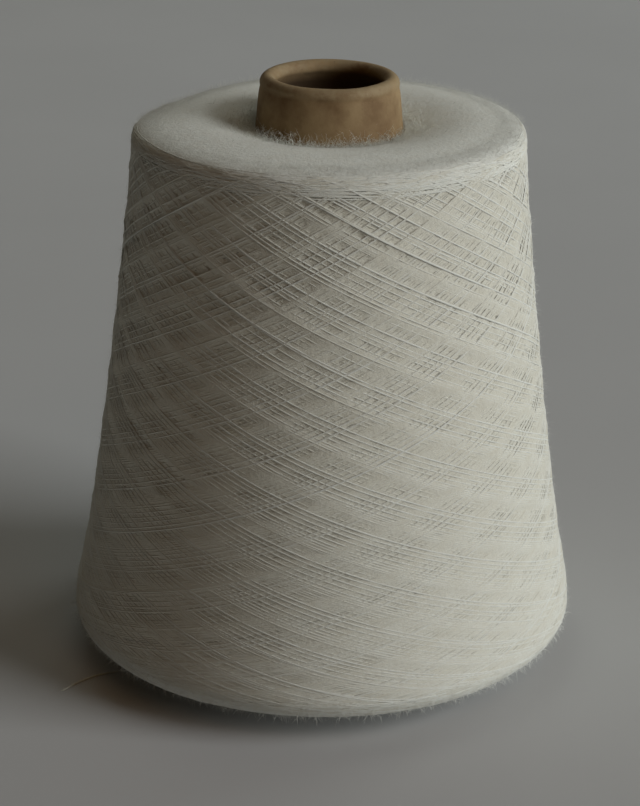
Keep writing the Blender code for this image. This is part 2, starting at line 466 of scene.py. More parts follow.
# How high the body's lumps are, and how far it draws in at the highest turns.
LUMP_STOPS = ((0.0, 0.0), (0.004, 0.00010), (SIDE_START, 0.00003), (SKIN_END - 0.002, 0.00008),
              (SKIN_END, 0.0))
HIGH_TURNS_STOPS = ((at_height(TURN_HIGH + 0.0010), 0.0), (SIDE_START - 0.0015, 0.00024),
                    (SIDE_START + 0.005, 0.0))
# How far the body is shaded as soft felt, and how far round each point that looks.
FELT_STOPS = ((0.0, 0.0), (0.004, 0.8), (at_height(TURN_HIGH), 0.8), (SIDE_START, 0.0))
FELT_REACH = np.linspace(-0.008, 0.004, 9)

# How many rows of points the body has from the last place to each of these.
BODY_ROWS = ((FACE_END, 35), (SIDE_START, 11), (SIDE_END, 129), (FOOT_END, 11), (SKIN_END, 7))

# Turns that lie along each edge: start, end, how many, points in each, least and greatest
# length, and how far they rise or fall.
LYING_TURNS = {
    "yarn_shoulder_turns": (
        at_height(TURN_HIGH + 0.0009), SIDE_START + 0.001, 150, 24, (0.060, 0.140), 0.0022),
    "yarn_foot_turns": (
        SIDE_END + 0.001, FOOT_END + 0.003, 240, 20, (0.050, 0.120), 0.0020),
}

# Layers of fibres: start, end, how many, least and greatest length, the sines by which
# they stand off the skin, and their other ways.
FIBRE_LAYERS = {
    "yarn_side_fibres": (
        SIDE_START, SIDE_END, 6500, (0.0008, 0.0026), (0.05, 0.7), {"thickness": 0.85}),
    "yarn_foot_fibres": (
        SIDE_END - 0.002, FOOT_END + 0.001, 3200, (0.0008, 0.0028), (0.2, 1.0),
        {"outward": 0.8, "droop": 0.25, "thickness": 1.1}),
    "yarn_shoulder_fibres": (
        FACE_END - 0.003, at_height(TURN_HIGH - 0.001), 6000, (0.0008, 0.0026), (0.1, 1.0),
        {"inner": 0.0025, "thickness": 0.8}),
    "yarn_face_fibres": (
        0.0015, FACE_END, 5600, (0.0010, 0.0028), (0.1, 1.0), {"curl": 0.7, "thickness": 0.75}),
    "yarn_shoulder_haze": (
        FACE_END - 0.002, at_height(TURN_HIGH + 0.0006), 5200, (0.0010, 0.0038), (0.3, 1.0),
        {"inner": 0.0035, "rings": 1, "thickness": 1.05}),
    "yarn_side_haze": (
        SIDE_START + 0.012, SIDE_END, 5000, (0.0012, 0.0034), (0.4, 1.0), {"rings": 1, "thickness": 1.1}),
    "yarn_hanging_fibres": (
        SIDE_END + 0.0015, SIDE_END + 0.0075, 1800, (0.0012, 0.0040), (0.3, 0.9),
        {"outward": 2.5, "droop": 0.7, "thickness": 2.3}),
    "yarn_collar_fibres": (
        0.0, 0.0080, 3000, (0.0005, 0.0015), (0.1, 1.0), {"curl": 0.9}),
}


# ---- points on the skin


def worn_away(place, angle, amount, middle, spread, stops):
    """How far the skin has given way here, most at the middle angle and between the stops."""
    beside = (angle - middle + math.pi) % math.tau - math.pi
    return amount * ramp(place, stops) * np.exp(-(beside / spread) ** 2)


def skin_at(place):
    """(radius, height, outward, upward) at these places: the last two are the normal."""
    radius, height, out, up = (np.interp(place, SKIN_PLACE, values) for values in
                               (SKIN_RADIUS, SKIN_HEIGHT, SKIN_OUTWARD, SKIN_UPWARD))
    length = np.hypot(out, up)
    return radius, height, out / length, up / length


def skin_points(place, angle, depth):
    """(points, outward normals) this far under the skin."""
    radius, height, out, up = skin_at(place)
    radius = radius - worn_away(place, angle, *FOOT_TUCK)
    height = height - worn_away(place, angle, *RIM_SAG)
    ahead = circle(angle)
    reach = (radius - depth * out)[..., None] * ahead
    level = (height - depth * up)[..., None]
    points = np.concatenate([reach, level], axis=-1)
    normals = np.concatenate([out[..., None] * ahead, up[..., None]], axis=-1)
    return points, normals


def scattered(random, start, end, count):
    """count random (places, angles), even over the skin's area from start to end."""
    low, high = np.interp((start, end), SKIN_PLACE, SKIN_AREA)
    place = np.interp(random.uniform(low, high, count), SKIN_AREA, SKIN_PLACE)
    return place, random.uniform(0.0, math.tau, count)


# ---- thread tubes


def tube_points(centres, sizes, outward):
    """Flattened rings round each centre, one corner pointing outward."""
    along = unit(np.gradient(centres, axis=-2))
    across = unit(outward - along * np.sum(outward * along, axis=-1, keepdims=True))
    beside = np.cross(along, across)
    return ring_points(centres, across, beside, sizes[..., None], THREAD_HEIGHT / 2, THREAD_WIDTH / 2)


def tube_faces(tubes, points):
    """(side faces, end caps) of three-sided tubes whose rings follow each other."""
    ring = np.arange(3)
    first = np.arange(tubes)[:, None] * points * 3
    last = first + (points - 1) * 3
    quads = first[..., None] + ring_quads(points, 3)
    return quads.reshape(-1, 4), np.concatenate([first + ring[::-1], last + ring])


def strip_uv(mesh, tubes, points, cap_count):
    """Each tube's faces in one thin strip: u along it, v round it."""
    tube, place, side = np.meshgrid(np.arange(tubes), np.arange(points - 1), np.arange(3), indexing="ij")
    u = np.stack([place, place, place + 1, place + 1], axis=-1) / (points - 1)
    v = np.stack([side, side + 1, side + 1, side], axis=-1) / 3
    # A tenth of each strip is left free on either side.
    v = (tube[..., None] + 0.1 + 0.8 * v) / tubes
    caps = np.tile([[0.5, 0.5 / tubes]], (cap_count * 3, 1))
    set_uv(mesh, np.stack([u, v], axis=-1), caps)


def tubes_object(name, place, angle, depth, sizes, tones, material, softness=THREAD_SOFTNESS):
    """One object of many tubes that lie under the skin: a row of each array is a tube."""
    tubes, points = sizes.shape
    centres, outward = skin_points(place, angle, depth)
    vertices = tube_points(centres, sizes, outward)
    quads, caps = tube_faces(tubes, points)
    mesh = new_mesh(name, vertices.reshape(-1, 3), [quads, caps])
    round_normals = unit(vertices - centres[..., None, :])
    normals = unit(round_normals + softness * (outward[..., None, :] - round_normals))
    mesh.normals_split_custom_set_from_vertices(normals.reshape(-1, 3).tolist())
    strip_uv(mesh, tubes, points, len(caps))
    set_tone(mesh, np.repeat(tones.ravel(), 3))
    return new_object(name, mesh, material)


# ---- materials


class Look:
    """A new material, built up from nodes. Most methods add one and give its output."""

    def __init__(self, name, surface):
        self.material = bpy.data.materials.new(name)
        self.material.use_nodes = True
        self.nodes = self.material.node_tree.nodes
        self.links = self.material.node_tree.links
        self.shader = self.nodes["Principled BSDF"]
        self.fill(self.shader, surface)

    def fill(self, node, inputs):
        """Sets each of these inputs to its value, or links it to its socket."""
        for key, value in inputs.items():
            if isinstance(value, bpy.types.NodeSocket):
                self.links.new(value, node.inputs[key])
            else:
                node.inputs[key].default_value = value

    def add(self, kind, inputs):
        node = self.nodes.new(kind)
        self.fill(node, inputs)
        return node

    def place(self):
        """Where each point is on its object, in metres."""
        return self.add("ShaderNodeTexCoord", {}).outputs["Object"]

    def split(self, vector):
        return self.add("ShaderNodeSeparateXYZ", {0: vector}).outputs

    def noise(self, place, scale, detail, roughness=0.55):
        inputs = {"Vector": place, "Scale": scale, "Detail": detail, "Roughness": roughness}
        return self.add("ShaderNodeTexNoise", inputs).outputs["Fac"]

    def ramp(self, source, stops):
        """A colour ramp: stops are (place, colour)."""
        node = self.add("ShaderNodeValToRGB", {"Fac": source})
        elements = node.color_ramp.elements
        while len(elements) < len(stops):
            elements.new(0.5)
        for element, (place, colour) in zip(elements, stops):
            element.position = place
            element.color = colour
        return node.outputs["Color"]

    def calculate(self, operation, *sources):
        """A Math node: the sources are sockets or numbers."""
        node = self.add("ShaderNodeMath", dict(enumerate(sources)))
        node.operation = operation
        return node.outputs[0]

    def mix(self, blend, share, first, second):
        """A colour Mix node."""
        node = self.add("ShaderNodeMix", {0: share, 6: first, 7: second})
        node.data_type = "RGBA"
        node.blend_type = blend
        return node.outputs[2]

    def share_between(self, source, start, end):
        """0 at start, 1 at end, and even between."""
        inputs = {"Value": source, "From Min": start, "From Max": end}
        return self.add("ShaderNodeMapRange", inputs).outputs["Result"]

    def yarn_colour(self, cloud, dark, light):
        """Clouded yarn, in each point's tone: 1 for unshaded yarn, 0.5 for the painted shade between the
        turns.
        """
        node = self.add("ShaderNodeAttribute", {})
        node.attribute_name = "tone"
        tone = self.ramp(node.outputs["Fac"], [(0.0, BLACK), (0.5, YARN_GAP_SHADE), (1.0, WHITE)])
        colour = self.ramp(cloud, [(dark, YARN_DARK), (light, YARN_LIGHT)])
        return self.mix("MULTIPLY", 1.0, colour, tone)

    def finish(self, colour, relief=None, strength=1.0, distance=1.0):
        """Gives the material its colour and any relief."""
        self.fill(self.shader, {"Base Color": colour})
        if relief is not None:
            bump = self.add("ShaderNodeBump", {"Height": relief, "Strength": strength, "Distance": distance})
            self.fill(self.shader, {"Normal": bump.outputs["Normal"]})
        return self.material


def thread_material(name, twists_per_strip):
    """Spun thread: a twist in relief, fibre streaks, and a tone of its own for each pass, which holds painted
    shade and highlight.
    """
    look = Look(name, YARN_SURFACE)
    place = look.place()
    mottle = look.noise(place, scale=260.0, detail=4.0, roughness=0.6)
    colour = look.yarn_colour(mottle, dark=0.30, light=0.62)
    strip = look.add("ShaderNodeUVMap", {})
    strip.uv_map = "OFBake"
    along = look.split(strip.outputs["UV"])["X"]
    twist = look.calculate("SINE", look.calculate("MULTIPLY", along, math.tau * twists_per_strip))
    fibres = look.noise(place, scale=5200.0, detail=2.0, roughness=0.7)
    fibre_relief = 2.5
    relief = look.calculate("MULTIPLY_ADD", fibres, fibre_relief, twist)
    return look.finish(colour, relief, strength=0.15, distance=0.00006)


def fibre_material():
    """Loose fibres: pale, and a little lighter and darker from place to place."""
    look = Look("yarn_fibres", YARN_SURFACE)
    shade = look.noise(look.place(), scale=900.0, detail=2.0)
    return look.finish(look.ramp(shade, [(0.35, FIBRE_DARK), (0.65, FIBRE_LIGHT)]))


def felt_material():
    """The yarn under the modelled threads: matted turns, with fine thread relief."""
    look = Look("yarn_body", YARN_SURFACE)
    place = look.place()
    cloud = look.noise(place, scale=320.0, detail=5.0, roughness=0.65)
    colour = look.yarn_colour(cloud, dark=0.32, light=0.60)
    matting = look.noise(place, scale=900.0, detail=3.0, roughness=0.6)
    return look.finish(colour, matting, strength=0.4, distance=0.0005)


def paper_material():
    """Kraft board: blotched and mottled, with a few dark specks, paler where the rim is rubbed,
    and with painted shade down inside."""
    look = Look("kraft_board", PAPER_SURFACE)
    place = look.place()
    parts = look.split(place)
    blotches = look.noise(place, scale=110.0, detail=4.0)
    colour = look.ramp(blotches, [(0.34, PAPER_DARK), (0.64, PAPER_LIGHT)])
    specks = look.noise(place, scale=480.0, detail=1.0, roughness=0.5)
    dark_specks = look.ramp(specks, [(0.215, PAPER_SPECK), (0.255, WHITE)])
    colour = look.mix("MULTIPLY", 0.8, colour, dark_specks)
    height = look.calculate("MULTIPLY", parts["Z"], 1 / CONE_LENGTH)
    rim = look.ramp(height, [(0.9825, BLACK), (0.9885, WHITE)])
    scuffs = look.noise(place, scale=300.0, detail=4.0, roughness=0.7)
    worn = look.ramp(scuffs, [(0.36, PAPER_LEAST_WEAR), (0.62, WHITE)])
    colour = look.mix("MIX", look.mix("MULTIPLY", 1.0, rim, worn), colour, PAPER_WORN)
    # Painted shade down inside the cone.
    colour = look.mix("MIX", inside_shade_share(look, parts), colour, PAPER_INSIDE_SHADE)
    grain = look.noise(place, scale=800.0, detail=4.0, roughness=0.65)
    return look.finish(colour, grain, strength=0.35, distance=0.00025)


def inside_shade_share(look, parts):
    """Where the painted shade goes: 0 on the outside and the roll, 1 well down inside the cone."""
    across = look.calculate("MULTIPLY", parts["X"], parts["X"])
    along = look.calculate("MULTIPLY", parts["Y"], parts["Y"])
    radius = look.calculate("SQRT", look.calculate("ADD", across, along))
    # The radius that this point's slope would have at the bottom: most on the outer side.
    slant = look.calculate("MULTIPLY_ADD", parts["Z"], math.tan(CONE_HALF_ANGLE), radius)
    outer = cone_outer_radius(0.0)
    inner = look.share_between(slant, outer - 0.0006, outer - 0.0016)
    deep = look.share_between(parts["Z"], CONE_LENGTH - 0.0024, CONE_LENGTH - 0.0062)
    return look.calculate("MULTIPLY", inner, deep)


def floor_material():
    """A pale, matt sheet, very slightly uneven."""
    look = Look("pale_floor", FLOOR_SURFACE)
    cloud = look.noise(look.place(), scale=5.0, detail=3.0)
    return look.finish(look.ramp(cloud, [(0.3, FLOOR_DARK), (0.7, FLOOR_LIGHT)]))


# ---- camera


def build_camera():
    data = bpy.data.cameras.new("camera")
    data.lens = CAMERA_LENS_MM
    data.clip_start = 0.05
    data.clip_end = 20.0
    camera = link(bpy.data.objects.new("camera", data))
    towards = (CAMERA_AIM - CAMERA_PLACE).to_track_quat("-Z", "Y").to_matrix()
    turned = towards @ Matrix.Rotation(CAMERA_ROLL, 3, "Z")
    camera.matrix_world = Matrix.Translation(CAMERA_PLACE) @ turned.to_4x4()
    bpy.context.scene.camera = camera


# ---- loose end


def curve_through(points, steps):
    """A smooth curve through the points, with this many steps between two of them."""
    knots = np.array(points)
    knots = np.vstack([2 * knots[0] - knots[1], knots, 2 * knots[-1] - knots[-2]])
    share = np.arange(steps)[:, None] / steps
    pieces = [curve_between(*neighbours, share)
              for neighbours in zip(knots, knots[1:], knots[2:], knots[3:])]
    return np.vstack(pieces + [knots[-2:-1]])


def loose_end_mesh(path, travelled):
    """A closed cord along the path: two plies twisted together."""
    along = unit(np.gradient(path, axis=0))
    beside = unit(np.cross(along, (0.0, 0.0, 1.0)))
    above = np.cross(beside, along)
    twist = math.tau * travelled / PLY_TWIST
    rings = []
    for side in range(CORD_SIDES):
        angle = math.tau * side / CORD_SIDES
        lobes = 1.0 - PLY_RELIEF + PLY_RELIEF * np.cos(2 * (angle - twist))
        reach = (YARN_DIAMETER / 2 * lobes)[:, None]
        rings.append(path + reach * (math.cos(angle) * beside + math.sin(angle) * above))
    vertices = np.stack(rings, axis=1).reshape(-1, 3)
    ring = np.arange(CORD_SIDES)
    last = (len(path) - 1) * CORD_SIDES
    caps = np.array([ring, last + ring[::-1]])
    quads = ring_quads(len(path), CORD_SIDES)[:, TURNED_OVER]
    mesh = new_mesh("loose_yarn_end", vertices, [quads, caps])
    set_tone(mesh, np.ones(len(vertices)))
    return mesh


def build_loose_end(material, fibres):
    """The free end of the yarn, with stray fibres."""
    path = curve_through(LOOSE_END_ROUTE, steps=24)
    path[:, 2] = np.maximum(path[:, 2], LYING_HEIGHT)
    travelled = running_sum(np.linalg.norm(np.diff(path, axis=0), axis=1))
    thread = new_object("loose_yarn_end", loose_end_mesh(path, travelled), material)
    hairs = build_loose_end_fibres(path, fibres)
    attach(thread, "root")
    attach(hairs, "root")
    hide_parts("loose_end")


def build_loose_end_fibres(path, material):
    """Short fibres along the loose end, and a small spray of them at its tip."""
    random = np.random.default_rng(11)
    tip = slice(-LOOSE_TIP_HAIRS, None)
    below_package = 20
    base = path[random.integers(below_package, len(path), LOOSE_HAIRS)]
    base[tip] = path[-1]
    heading = random.normal(0.0, 1.0, (LOOSE_HAIRS, 3))
    # They lie flatter than they stand, and those at the tip head on with the thread.
    heading[:, 2] = np.abs(heading[:, 2]) * 0.5
    heading[tip] += 1.6 * unit(path[-1] - path[-8])
    lengths = random.uniform(0.0003, 0.0012, LOOSE_HAIRS)
    facing = np.tile((0.0, -0.5, 1.0), (LOOSE_HAIRS, 1))
    return fibres_object("loose_yarn_fibres", base, unit(heading), lengths, random, material,
                         curl=0.5, floor=0.0001, thickness=1.8, facing=facing)


# ---- fibres


def fibre_paths(bases, headings, lengths, random, rings, curl=0.6, wave=0.0, droop=0.0, floor=None):
    """The points of fibres that bend once a ring, from base to tip: curl bends a fibre one
    way all along, wave this way and that, and droop downward. None goes below the floor."""
    count = len(bases)
    bend = unit(random.normal(0.0, 1.0, (count, 3)))
    points = [bases]
    heading = headings
    for _ in range(rings):
        points.append(points[-1] + heading * (lengths / rings)[:, None])
        turn = bend * curl + random.normal(0.0, 1.0, (count, 3)) * wave
        heading = unit(heading + turn - np.array((0.0, 0.0, droop)))
    path = np.stack(points, axis=1)
    if floor is not None:
        path[..., 2] = np.maximum(path[..., 2], floor)
    # Too little to show, but no two points of a fibre are quite in the same place.
    return path + random.normal(0.0, 1e-6, path.shape)


def fibre_faces(count, rings):
    """A list of face arrays: the quads between a fibre's rings, then its tip and its base."""
    tip = 3 * rings
    last = tip - 3
    first = np.arange(count)[:, None, None] * (tip + 1)
    ends = np.array([(last, last + 1, tip), (last + 1, last + 2, tip), (last + 2, last, tip), (2, 1, 0)])
    faces = [(first + ends).reshape(-1, 3)]
    if rings > 1:
        faces.insert(0, (first + ring_quads(rings, 3)).reshape(-1, 4))
    return faces


def fibres_object(name, bases, headings, lengths, random, material, facing=None,
                  rings=2, thickness=1.0, **bends):
    """Fine fibres, each a closed three-sided spike. They are shaded mostly as the skin they
    stand on, which the facing is given for, since light gets through them."""
    count = len(bases)
    path = fibre_paths(bases, headings, lengths, random, rings, **bends)
    along = unit(np.gradient(path, axis=1))[:, :rings]
    across = unit(np.cross(along, unit(random.normal(0.0, 1.0, (count, 1, 3)))))
    beside = np.cross(along, across)
    thinning = np.linspace(1.0, FIBRE_THINNING, rings)[:, None]
    reach = thickness * FIBRE_RADIUS * random.uniform(*FIBRE_RADIUS_SHARES, (count, 1, 1)) * thinning
    corners = ring_points(path[:, :rings], across, beside, reach)
    vertices = np.concatenate([corners.reshape(count, 3 * rings, 3), path[:, rings:]], axis=1)
    mesh = new_mesh(name, vertices.reshape(-1, 3), fibre_faces(count, rings))
    if facing is not None:
        lean_normals(mesh, np.repeat(facing, vertices.shape[1], axis=0), FIBRE_SOFTNESS)
    fibre_uv(mesh, count, rings)
    return new_object(name, mesh, material)


def fibre_uv(mesh, count, rings):
    """Every fibre in a small cell of its own."""
    columns = int(math.ceil(math.sqrt(count)))
    number = np.arange(count)
    cell = np.stack([number % columns, number // columns], axis=-1)[:, None] / columns
    quad = np.tile([(0.2, 0.2), (0.8, 0.2), (0.8, 0.8), (0.2, 0.8)], (3 * (rings - 1), 1))
    tip = np.array([(0.2, 0.2), (0.8, 0.2), (0.5, 0.8)] * 4)
    set_uv(mesh, cell + quad / columns, cell + tip / columns)


def skin_fibres(name, start, end, count, lengths, stand, random, material,
                outward=0.0, inner=0.0, **ways):
    """Fibres that leave the skin at random, standing off it by a sine between stand's two.
    They are shaded as the skin that lies inner metres back towards the bore, and outward
    is how far they are shaded as facing away from the axis and a little upward."""
    place, angle = scattered(random, start, end, count)
    points, normals = skin_points(place, angle, FIBRE_ROOT_DEPTH)
    around = unit(np.cross(np.array((0.0, 0.0, 1.0)) + 1e-4, normals))
    upward = np.cross(normals, around)
    turn = random.uniform(0, math.tau, (count, 1))
    lift = random.uniform(*stand, (count, 1))
    flat = np.cos(turn) * around + np.sin(turn) * upward
    heading = unit(flat * np.sqrt(1 - lift * lift) + normals * lift)
    size = random.uniform(*lengths, count)
    radial = np.stack([np.cos(angle), np.sin(angle), 0 * angle + FIBRE_UPWARD], axis=-1)
    shading = skin_points(np.maximum(place - inner, 0.0), angle, 0.0)[1]
    facing = unit(shading + outward * radial)
    return fibres_object(name, points, heading, size, random, material, facing=facing, **ways)


def build_core_fibres(random, material):
    """Longer wavy fibres that stand up round the paper cone where it leaves the yarn."""
    count = 3700
    spread = 0.0032
    shortest, longest = 0.0012, 0.0080
    fade = 0.014
    tilt, outward = 0.60, 0.10
    place = 0.0002 + spread * random.exponential(1.0, count)
    angle = random.uniform(0, math.tau, count)
    points, _ = skin_points(place, angle, FIBRE_ROOT_DEPTH)
    heading = random.normal(0.0, tilt, (count, 3)) + (0.0, 0.0, 1.0)
    heading[:, :2] += outward * circle(angle)
    lengths = shortest + (longest - shortest) * random.uniform(0.0, 1.0, count) ** 2.0
    lengths *= np.exp(-place / fade)
    return fibres_object("yarn_core_fibres", points, unit(heading), lengths, random, material,
                         curl=0.15, wave=0.75, rings=5, thickness=1.5)


def build_fibres(material):
    """Fibres that stand off the yarn: on the side, the top face, both edges and at the core."""
    random = np.random.default_rng(31)
    layers = [skin_fibres(name, *sizes, random, material, **ways)
              for name, (*sizes, ways) in FIBRE_LAYERS.items()]
    return [*layers, build_core_fibres(random, material)]


# ---- wound thread


def lead_angle(place):
    """How steeply the thread climbs at these places: it flattens out near each turn."""
    height = np.interp(place, SKIN_PLACE, SKIN_HEIGHT)
    steady = LEAD_ANGLE_LOW + LEAD_ANGLE_GAIN * (height - LEAD_LOW_HEIGHT) / LEAD_GAIN_RUN
    to_foot = np.clip((at_height(TURN_LOW) - place) / TURN_EASE_LOW, 0.0, 1.0)
    to_top = np.clip((place - at_height(TURN_HIGH)) / TURN_EASE_HIGH, 0.0, 1.0)
    return steady * np.sqrt(1 - (1 - to_foot) ** 2) * np.sqrt(1 - (1 - to_top) ** 2)


def pass_table(points):
    """(places, turned angles) at even lengths along one upward pass of the thread."""
    share = np.linspace(0.0, 1.0, num=4001)
    foot = at_height(TURN_LOW)
    top = at_height(TURN_HIGH)
    place = (foot + top) / 2 + (foot - top) / 2 * np.cos(math.pi * share)
    climb = np.abs(np.diff(place))
    between = (place[1:] + place[:-1]) / 2
    around = climb / np.tan(lead_angle(between))
    turned = running_sum(around / skin_at(between)[0])
    length = running_sum(np.hypot(climb, around))
    even = np.linspace(0.0, length[-1], points)
    return np.interp(even, length, place), np.interp(even, length, turned)


def pass_phases(random):
    """The extra angle at each turn: a step beside the last round of groups, now wide and
    now narrow, so that the threads lie in ribbons."""
    step = STEP_BESIDE / side_radius(STEP_HEIGHT)
    turn = np.arange(PASSES + 1)
    crowding = np.ones(PASSES + 1)
    for strength, pace, start in RIBBON_WAVES:
        crowding = crowding + strength * np.sin(turn / pace + start)
    passes = 2 * GROUPS
    steady = np.cumsum(step / passes * crowding)
    drift = GROUP_DRIFT * smooth_noise(random, passes, PASSES // passes + 1, step=4)
    jitter = random.normal(0.0, TURN_DRIFT, PASSES + 1)
    return steady + drift[turn % passes, turn // passes] + jitter


def winding_paths(random):
    """The (places, angles) of all the passes, one row a pass, in the order of winding."""
    phases = pass_phases(random)
    slips = random.normal(0.0, TURN_SLIP, PASSES + 1).clip(-TURN_SLIP_MOST, TURN_SLIP_MOST)
    table_place, table_angle = pass_table(POINTS_PER_PASS)
    whole_pass = math.pi * TURNS_IN_GROUPS / GROUPS
    table_angle = table_angle * whole_pass / table_angle[-1]
    share = np.linspace(0.0, 1.0, POINTS_PER_PASS)
    number = np.arange(PASSES)[:, None]
    rising = number % 2 == 0
    place = np.where(rising, table_place, table_place[::-1])
    angle = np.where(rising, table_angle, whole_pass - table_angle[::-1])
    angle = angle + whole_pass * number + phases[number] * (1 - share) + phases[number + 1] * share
    wander = smooth_noise(random, PASSES, POINTS_PER_PASS, step=10) * np.sin(math.pi * share)
    slip = slips[number] * (1 - share) + slips[number + 1] * share
    # A turn that has slipped pulls only the ends of its passes along.
    near_turn = np.abs(np.cos(math.pi * share)) ** 3
    return place + slip * near_turn, angle + THREAD_WANDER * wander


def wind(place, angle):
    """Lays the passes one by one, each pulled taut over the turns wound before it. Gives
    how deep each pass lies, and the depth of the wound surface in rows of small cells."""
    fine = np.linspace(0.0, POINTS_PER_PASS - 1, (POINTS_PER_PASS - 1) * PILE_FINER + 1)
    lower = np.minimum(fine.astype(int), POINTS_PER_PASS - 2)
    share = fine - lower
    fine_place = place[:, lower] * (1 - share) + place[:, lower + 1] * share
    fine_angle = angle[:, lower] * (1 - share) + angle[:, lower + 1] * share
    rows = ((fine_place - PILE_START) / PILE_ROW).astype(int)
    columns = (fine_angle * PILE_COLUMNS / math.tau).astype(int) % PILE_COLUMNS
    pile = np.zeros((rows.max() + 2, PILE_COLUMNS))
    window = np.hanning(2 * PILE_FINER + 1)
    window /= window.sum()
    heights = []
    for row, column in zip(rows, columns):
        under = np.pad(np.maximum(pile[row, column], pile[row + 1, column]), PILE_FINER, mode="edge")
        taut = np.convolve(under, window, mode="valid")
        for part in (row, row + 1):
            pile[part, column] = np.maximum(pile[part, column], taut + PILE_STEP)
        heights.append(taut[::PILE_FINER])
    usual = smooth_rows(pile.mean(axis=1)[:, None], reach=8)
    row_place = PILE_START + PILE_ROW * (np.arange(len(usual)) + 0.5)
    depth = wound_depth(place, np.array(heights) / np.interp(place, row_place, usual[:, 0]))
    surface = wound_depth(row_place[:, None], smooth_rows(pile, reach=2) / usual)
    return depth, (surface + np.roll(surface, 1, axis=1) + np.roll(surface, -1, axis=1)) / 3


def wound_depth(place, share):
    """How deep the surface lies where the turns are piled up to this share of the usual."""
    return WINDING_DEPTH * (LEAST_DEPTH + ramp(place, RELIEF_STOPS) * (1.0 - share))


def smooth_rows(table, reach):
    """Each row averaged with this many rows on either side."""
    padded = np.pad(table, ((reach, reach), (0, 0)), mode="edge")
    return np.mean([padded[start:start + len(table)] for start in range(2 * reach + 1)], axis=0)


def build_winding(place, angle, depth, random, material):
    """The outer passes of the thread, in a few pieces from the inner turns to the outer."""
    number = np.arange(PASSES)[:, None]
    later = PASSES - 1 - number
    fresh = np.exp(-later / FRESH_PASSES)
    sizes = 1 + THREAD_WAVES * smooth_noise(random, PASSES, POINTS_PER_PASS, step=3)
    spread = random.normal(1.0, THREAD_SPREAD, (PASSES, 1)).clip(*THREAD_LIMITS)
    sizes *= spread + FRESH_SWELLING * fresh
    depth = depth - FRESH_RISE * fresh
    old = (later / OLD_PASSES).clip(0.0, 1.0)
    deep = (depth / WINDING_DEPTH - DEEP_START).clip(0.0, 1.0)
    # A random tone for each pass, with painted shade on the old passes, which lie lower in the winding.
    tones = random.normal(TONE_MEAN, TONE_SPREAD, (PASSES, 1)) - PAINTED_SHADE_OLD * old
    # Painted shade: rising turns, which the light runs along, are a little darker than falling ones.
    tones = tones - PAINTED_SHADE_RISING * (number % 2 == 0) * (1 - 0.5 * fresh)
    # A painted highlight on the fresh passes, and painted shade on thread that lies deep.
    tones = tones + PAINTED_HIGHLIGHT_FRESH * fresh - PAINTED_SHADE_DEEP * deep
    pieces = []
    for piece in range(TURN_PIECES):
        end = PASSES - (TURN_PIECES - 1 - piece) * PASSES_PER_PIECE
        rows = [table[end - PASSES_PER_PIECE:end] for table in (place, angle, depth, sizes, tones)]
        pieces.append(tubes_object(f"yarn_turns_{piece + 1}", *rows, material))
    return pieces


# ---- yarn body and its two ends


def turned_faces(name, points):
    """A mesh of the quads between neighbouring rings of points, closed both ways."""
    rows, columns = points.shape[:2]
    quads = ring_quads(rows + 1, columns)[:, TURNED_OVER] % (rows * columns)
    return new_mesh(name, points.reshape(-1, 3), [quads])


def body_places():
    """Where the body's rows of points lie on the skin."""
    places = [np.zeros(1)]
    start = 0.0
    for end, rows in BODY_ROWS:
        places.append(np.linspace(start, end, rows + 1)[1:])
        start = end
    return np.concatenate(places)


def body_depth(place, angle, surface):
    """How deep the body lies under the skin, in the ribbons of the wound surface."""
    row = ((place - PILE_START) / PILE_ROW).astype(int).clip(0, len(surface) - 1)
    foot = ramp(place, NEAR_FOOT_STOPS)
    top = ramp(place, NEAR_TOP_STOPS)
    # Towards its two edges the yarn is matted closer up to its outer turns.
    mat = MAT_DEPTH * (1.0 - MAT_FOOT_SHARE * foot - MAT_TOP_SHARE * top)
    wound = surface[row][:, ::BODY_COARSER] + mat[:, None]
    random = np.random.default_rng(3)
    lumps = smooth_noise(random, *angle.shape, step=6)
    lumps = (lumps + np.roll(lumps, 1, axis=0)) / 1.6
    # The noise doesn't join round the cone, so the lumps fade out towards its seam.
    seam = np.minimum(1.0, np.minimum(angle, math.tau - angle) / 0.15)
    turned = ramp(place, UNDER_TURNS_STOPS)[:, None]
    depth = MAT_LEAST_DEPTH + turned * (wound - MAT_LEAST_DEPTH)
    depth -= ramp(place, LUMP_STOPS)[:, None] * lumps * seam
    return depth + ramp(place, HIGH_TURNS_STOPS)[:, None]


def build_body(surface, material):
    """The matted yarn that fills the package up to its outer turns, in the same ribbons."""
    columns = PILE_COLUMNS // BODY_COARSER
    place = body_places()
    angle = np.tile(math.tau * np.arange(columns) / columns, (len(place), 1))
    table = np.repeat(place[:, None], columns, axis=1)
    depth = body_depth(place, angle, surface)
    mesh = turned_faces("yarn_body", skin_points(table, angle, depth)[0])
    soften_normals(mesh, table.ravel(), angle.ravel())
    # Painted shade on the body where it lies under the turns.
    shade = MAT_SHADE - MAT_FOOT_SHADE * ramp(place, NEAR_FOOT_STOPS)
    set_tone(mesh, np.repeat(1.0 - shade * ramp(place, UNDER_TURNS_STOPS), columns))
    body = new_object("yarn_body", mesh, material)
    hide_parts("yarn_package")
    return body


def soften_normals(mesh, place, angle):
    """Shades the face and the shoulder as soft felt, which the light gets into: each point
    leans to the mean direction of the skin round it."""
    near = [skin_points(np.clip(place + step, 0.0, SKIN_END), angle, 0.0)[1] for step in FELT_REACH]
    lean_normals(mesh, unit(np.mean(near, axis=0)), ramp(place, FELT_STOPS)[:, None])


